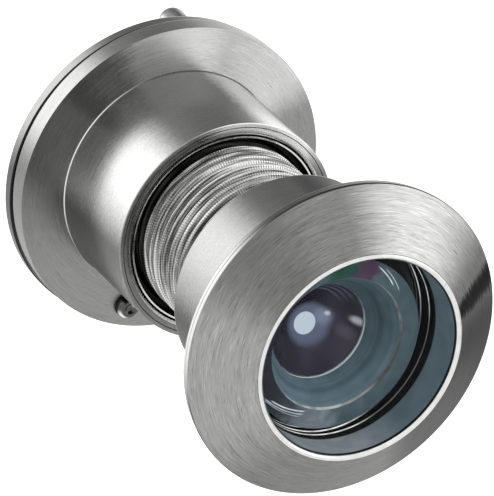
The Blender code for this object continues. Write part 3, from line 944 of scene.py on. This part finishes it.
def objective():
    """The big lens: a clear front, a ground edge, and a hollow back whose outer zone is a tinted sheet; the
    edge and that zone glow with painted light and carry painted reflections and shade.
    """
    front = cap(EDGE_END[0], at(-4.7), at(-4.3), 0)
    front[-1] = (*front[-1][:2], 1)
    back = [
        (EDGE_END[0], at(EDGE_END[1]), 4, EDGE_SEEN),
        (11.62, at(SEAT_FLOOR), 3),
        (BOWL_RIM[0], at(BOWL_RIM[1]), 2, BOWL_SEEN),
        (0.5 * (BOWL_RIM[0] + LIP[0]), at(0.05), 2, BOWL_SEEN),
    ]
    crown = cap(LIP[0] - 0.12, at(LENS_APEX), at(LIP[1]), 4)[::-1]
    for r, s, finish in crown:
        share = r / LIP[0]
        back.append((r, s, finish, (LIP_SEEN[0] * share, LIP_SEEN[1] * share, 0.0)))
    mats = [FRONT_GLASS, WALL, BOWL, BLACK, STILL_GLASS]
    obj = turned("objective", front + back, mats, COLUMNS, closed=False)
    return place(obj, "lens_stack", "coated_glass", "objective_lens")


def seat_ring():
    """The black ring under the objective, with a painted glint along the turned edge of each of its steps."""
    line = 0.2
    points = [
        (RING_R, at(EDGE_END[1]), 0, EDGE_SEEN),
        (RING_R, at(SEAT_FLOOR + 0.06), 0),
        (9.6, at(SEAT_FLOOR + 0.06), 0),
        (9.6, at(SEAT_FLOOR), 0),
        (11.65, at(SEAT_FLOOR), 0),
        (DEEP_STEP[0] - 0.03, at(DEEP_STEP[1] + 0.6 * line), 2, DEEP_SEEN),
        (*DEEP_STEP[:1], at(DEEP_STEP[1]), 0, DEEP_SEEN),
        (LOWER_STEP[0] - 0.05, at(LOWER_STEP[1] + line), 1, LOWER_SEEN),
        (*LOWER_STEP[:1], at(LOWER_STEP[1]), 0, LOWER_SEEN),
        (UPPER_STEP[0] - 0.03, at(UPPER_STEP[1] + line), 1, UPPER_SEEN),
        (*UPPER_STEP[:1], at(UPPER_STEP[1]), 0, UPPER_SEEN),
        (EDGE_END[0] + 0.02, at(EDGE_END[1] + 0.02), 0, EDGE_SEEN),
    ]
    obj = turned("lens_seat", points, [BLACK, GLINT, FAINT_GLINT])
    return place(obj, "lens_stack", "black_anodised", "lens_seat_ring")


def second_lens():
    """A hollow-fronted lens: a lip with painted glints, a teal mouth with painted light and shade, a bright
    inner edge, and a dark hollow with painted reflections.
    """
    hollow = [(*p, DOME_SEEN) for p in cap(DOME[0] - 0.1, at(HOLLOW_DEPTH), at(DOME[1] + 0.1), 3)[:-1]]
    corners = [
        (DOME[0] - 0.1, at(DOME[1] + 0.1), 2, DOME_SEEN),
        (DOME[0], at(DOME[1] - 0.05), 2, DOME_SEEN),
        (DOME[0] + 0.1, at(DOME[1] - 0.1), 1, DOME_SEEN),
        (LIP[0] - 0.24, at(LIP[1] + 0.4), 0, LIP_SEEN),
        (LIP[0] - 0.1, at(LIP[1] + 0.16), 0, LIP_SEEN),
        (LIP[0], at(LIP[1] + 0.2), 1, LIP_SEEN),
        (SECOND_LENS_R, at(SEAT_FLOOR), 4),
        (SECOND_LENS_R, at(SECOND_LENS_BACK), 4),
        (0.0, at(SECOND_LENS_BACK), 4),
    ]
    mats = [LENS_LIP_GLINT, FUNNEL, SOFT_LINE, HOLLOW, BLACK]
    obj = turned("second_lens_glass", hollow + corners, mats, COLUMNS, closed=False)
    return place(obj, "lens_stack", "coated_glass", "second_lens")


# ---------------------------------------------------------------- room half


def sleeve():
    """The room half's sleeve and flange, with its internal thread, coin notches and rivet hole."""
    rim, face, back = SLEEVE_RIM, INNER_FACE, SLEEVE_BACK
    outline = [
        (FEMALE_WALL_R, at(FEMALE_END + 0.4), 0.0, 3),
        (SLEEVE_BORE_R, at(FEMALE_END + 0.4), 0.0, 3),
        (SLEEVE_BORE_R, back, 0.12, 0),
        (INNER_FLANGE_R - 0.03, back, 0.25, 1),
        (INNER_FLANGE_R, face, 0.0, 0),
        (SLEEVE_R + 0.1, face, 0.0, 5),
        (SLEEVE_R, face - 0.10, 0.0, 2),
        (SLEEVE_R, rim, 0.12, 6),
        # The groove and walls inside the mouth take the dark bore finish, as painted shade.
        (12.98, rim, 0.0, 3),
        (12.93, rim + 0.05, 0.0, 3),
        (12.88, rim, 0.0, 6),
        (12.30, rim, 0.0, 7),
        (12.00, rim + 0.12, 0.0, 3),
        (11.90, rim + 0.50, 0.0, 3),
        (11.74, rim + 0.20, 0.0, 7),
        (11.52, rim + 0.20, 0.04, 3),
        (11.40, rim + 1.8, 0.0, 3),
        (FEMALE_WALL_R, rim + 1.8, 0.0, 3),
    ]
    thread = (at(FEMALE_START), at(FEMALE_END), FEMALE_WALL_R, FEMALE_CREST_R, 4)
    finishes = [INNER, EDGE, TUBE, BORE, BORE_THREAD, FILLET, MOUTH_FACE, BRIGHT]
    obj = threaded("sleeve", [], softened(outline, 4), thread, finishes)
    for side in (-1.0, 1.0):
        mill(obj, (5.0, 2.4, 2.6), (side * 11.2, back, 0.0))
    drill(obj, RIVET_HOLE_R, face - OVERCUT, back + OVERCUT, PIVOT)
    drill(obj, 2.2, back - 0.8, back + OVERCUT, PIVOT)
    return place(obj, "room_half", "satin_nickel", "inner_sleeve")


def cover():
    """The privacy cover's disc, which hangs a hair low and to the left, with its pivot and knob holes."""
    hang = (-0.15, -0.30)
    corners = [
        (0.0, COVER_FRONT, 0.0, 0),
        # The front chamfer takes the dark bore finish, a painted shadow line between the cover and the
        # sleeve's flange.
        (COVER_R - 0.14, COVER_FRONT, 0.0, 2),
        (COVER_R, COVER_FRONT + 0.16, 0.0, 1),
        (COVER_R, COVER_BACK, 0.15, 0),
        (0.0, COVER_BACK, 0.0, 0),
    ]
    obj = turned("cover_disc", softened(corners), [INNER, COVER_EDGE, BORE], COLUMNS, hang, closed=False)
    drill(obj, 1.9, COVER_BACK - 0.8, COVER_BACK + OVERCUT, PIVOT)
    drill(obj, RIVET_HOLE_R, COVER_FRONT - OVERCUT, COVER_BACK + OVERCUT, PIVOT)
    drill(obj, KNOB_HOLE_R, COVER_FRONT - OVERCUT, COVER_BACK + OVERCUT, KNOB)
    drill(obj, 1.55, COVER_FRONT - OVERCUT, COVER_FRONT + 0.75, KNOB)
    return place(obj, "cover", "satin_nickel", "privacy_cover")


def knob():
    """The cover's knob: a domed head whose shank is riveted in a sunk hole."""
    top = knob_high[1] / MM
    tail = knob_low[1] / MM
    shoulder = COVER_BACK + 0.3
    head = 1.62
    dome = []
    for i in range(12):
        a = i * math.pi / 24
        dome.append((head * math.cos(a), top - head + head * math.sin(a), 0))
    dome.append((0.0, top, 0))
    corners = [
        (0.0, tail, 0.0, 0),
        (KNOB_TAIL_R, tail, 0.08, 0),
        (KNOB_TAIL_R, tail + 0.35, 0.0, 0),
        (KNOB_SHANK_R, tail + 0.35, 0.0, 0),
        (KNOB_SHANK_R, shoulder, 0.0, 0),
        (head, shoulder, 0.1, 0),
    ]
    obj = turned("cover_pin", softened(corners) + dome, [KNOB_CHROME], 64, KNOB, closed=False)
    return place(obj, "cover", "polished_nickel", "cover_knob")


def rivet():
    """The cover's pivot: a dished head on the sleeve's flange and a flat one sunk in the cover."""
    low, high = rivet_low[1] / MM, rivet_high[1] / MM
    head = 1.42
    corners = [
        (0.0, low + 0.30, 0.0, 0),
        (0.38, low + 0.26, 0.1, 0),
        (0.72, low, 0.16, 0),
        (1.05, low + 0.04, 0.16, 0),
        (head, low + 0.45, 0.22, 0),
        (head, low + 0.8, 0.06, 0),
        (RIVET_SHANK_R, low + 0.8, 0.0, 0),
        (RIVET_SHANK_R, high - 0.5, 0.0, 0),
        (RIVET_TAIL_R, high - 0.5, 0.08, 0),
        (RIVET_TAIL_R, high, 0.15, 0),
        (0.0, high, 0.0, 0),
    ]
    obj = turned("pivot_pin", softened(corners), [PIN_CHROME], 64, PIVOT, closed=False)
    return place(obj, "room_half", "polished_nickel", "pivot_rivet")


def washer():
    low, high = washer_low[1] / MM, washer_high[1] / MM
    inner, outer = RIVET_HOLE_R, 1.9
    corners = [(inner, low, 0.05, 0), (outer, low, 0.08, 0), (outer, high, 0.08, 0), (inner, high, 0.05, 0)]
    obj = turned("pivot_shim", softened(corners), [BRIGHT], 64, PIVOT)
    return place(obj, "room_half", "polished_nickel", "pivot_washer")


# ---------------------------------------------------------------- studio


def studio():
    """A plain white studio: a pale floor for the camera, and a soft procedural room for everything else."""
    world = bpy.data.worlds.new("studio")
    bpy.context.scene.world = world
    world.use_nodes = True
    g = Graph("studio", world.node_tree)
    way = g.add("ShaderNodeTexCoord").outputs["Generated"]
    level = ROOM_LEVEL
    for direction, half, lift in SOFT_LIGHTS:
        unit = Vector(direction).normalized()
        near = g.vector("DOT_PRODUCT", way, unit[:], output=1)
        glow = g.span(near, math.cos(math.radians(half)), math.cos(math.radians(half * 0.35)), 0.0, lift)
        level = g.math("ADD", level, glow)
    level = g.math("MAXIMUM", level, 0.04)
    direct = g.add("ShaderNodeLightPath").outputs["Is Camera Ray"]
    room = g.add("ShaderNodeBackground", Color=(1.0, 1.0, 0.995, 1.0), Strength=level)
    plain = g.add("ShaderNodeBackground", Color=(1.0, 1.0, 1.0, 1.0), Strength=1.0)
    mixed = g.add("ShaderNodeMixShader", Fac=direct)
    g.tree.links.new(room.outputs[0], mixed.inputs[1])
    g.tree.links.new(plain.outputs[0], mixed.inputs[2])
    out = g.add("ShaderNodeOutputWorld")
    g.tree.links.new(mixed.outputs[0], out.inputs["Surface"])

    bm = bmesh.new()
    bmesh.ops.create_grid(bm, x_segments=8, y_segments=8, size=6.0)
    bmesh.ops.translate(bm, verts=bm.verts, vec=(0.0, 0.0, -0.3))
    mesh = bpy.data.meshes.new("floor")
    bm.to_mesh(mesh)
    bm.free()
    floor = bpy.data.objects.new("floor", mesh)
    bpy.context.scene.collection.objects.link(floor)
    g = Graph("pale_floor")
    paint = g.add("ShaderNodeBsdfDiffuse", Color=(0.9, 0.9, 0.9, 1.0))
    light = g.add("ShaderNodeEmission", Color=(1.0, 1.0, 1.0, 1.0), Strength=0.6)
    both = g.add("ShaderNodeAddShader")
    g.tree.links.new(paint.outputs[0], both.inputs[0])
    g.tree.links.new(light.outputs[0], both.inputs[1])
    mesh.materials.append(g.finish(both.outputs[0]))
    floor.visible_glossy = False
    floor.visible_diffuse = False


# The room as reflections see it: (direction, half width in degrees, brightness added)
ROOM_LEVEL = 0.95
SOFT_LIGHTS = [
    ((-0.48, 0.79, 0.40), 32.0, 0.5),
    ((0.61, 0.79, -0.10), 26.0, 0.4),
    ((0.85, -0.40, 0.32), 26.0, 0.4),
    ((0.39, 0.79, 0.47), 22.0, -0.4),
    ((0.92, 0.10, -0.38), 16.0, -0.5),
    ((0.0, 0.0, 1.0), 30.0, 0.5),
]


SENSOR_WIDTH = 36.0  # mm
FOCAL_LENGTH = 508.06 * 496.0 / 494.0  # mm: worked out on the picture's longer side, restated for its width
CAMERA_DISTANCE = 0.7706  # m from the point it aims at
AIM_OFFSET = (-0.01037, 0.01013)  # m right and up in the picture, from the centre of the front rim


def camera():
    """The photographer's place: above and to the left of the street side, far off, with a long lens."""
    right = Vector((0.8937, -0.4487, 0.0))
    up = Vector((0.2130, 0.4243, 0.8801))
    back = Vector((-0.3949, -0.7866, 0.4747))
    data = bpy.data.cameras.new("camera")
    data.sensor_fit = "HORIZONTAL"
    data.sensor_width = SENSOR_WIDTH
    data.lens = FOCAL_LENGTH
    data.clip_start = 0.01
    data.clip_end = 100.0
    obj = bpy.data.objects.new("camera", data)
    bpy.context.scene.collection.objects.link(obj)
    turn = Matrix((right, up, back)).transposed().to_4x4()
    aim = Vector((0.0, FRONT_RIM * MM, 0.0)) + AIM_OFFSET[0] * right + AIM_OFFSET[1] * up
    turn.translation = aim + CAMERA_DISTANCE * back
    obj.matrix_world = turn
    bpy.context.scene.camera = obj


def hidden_nodes():
    """Finishes the CAD parts that stay in view only where the outer pieces let them show."""
    finishes = {
        "third_lens": (CLEAR, "coated_glass"),
        "eyepiece_lens": (CLEAR, "coated_glass"),
        "front_spacer_tube": (BLACK, "black_anodised"),
        "rear_spacer_tube": (BLACK, "black_anodised"),
        "aperture_stop": (BLACK, "black_anodised"),
        "retaining_ring": (BLACK, "black_anodised"),
    }
    for name, (mat, finish) in finishes.items():
        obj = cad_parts[name]
        obj.data.materials.clear()
        obj.data.materials.append(mat)


barrel()
bezel()
seal()
objective()
seat_ring()
second_lens()
sleeve()
cover()
knob()
rivet()
washer()
hidden_nodes()
studio()
camera()
bpy.context.scene.view_settings.view_transform = "Standard"
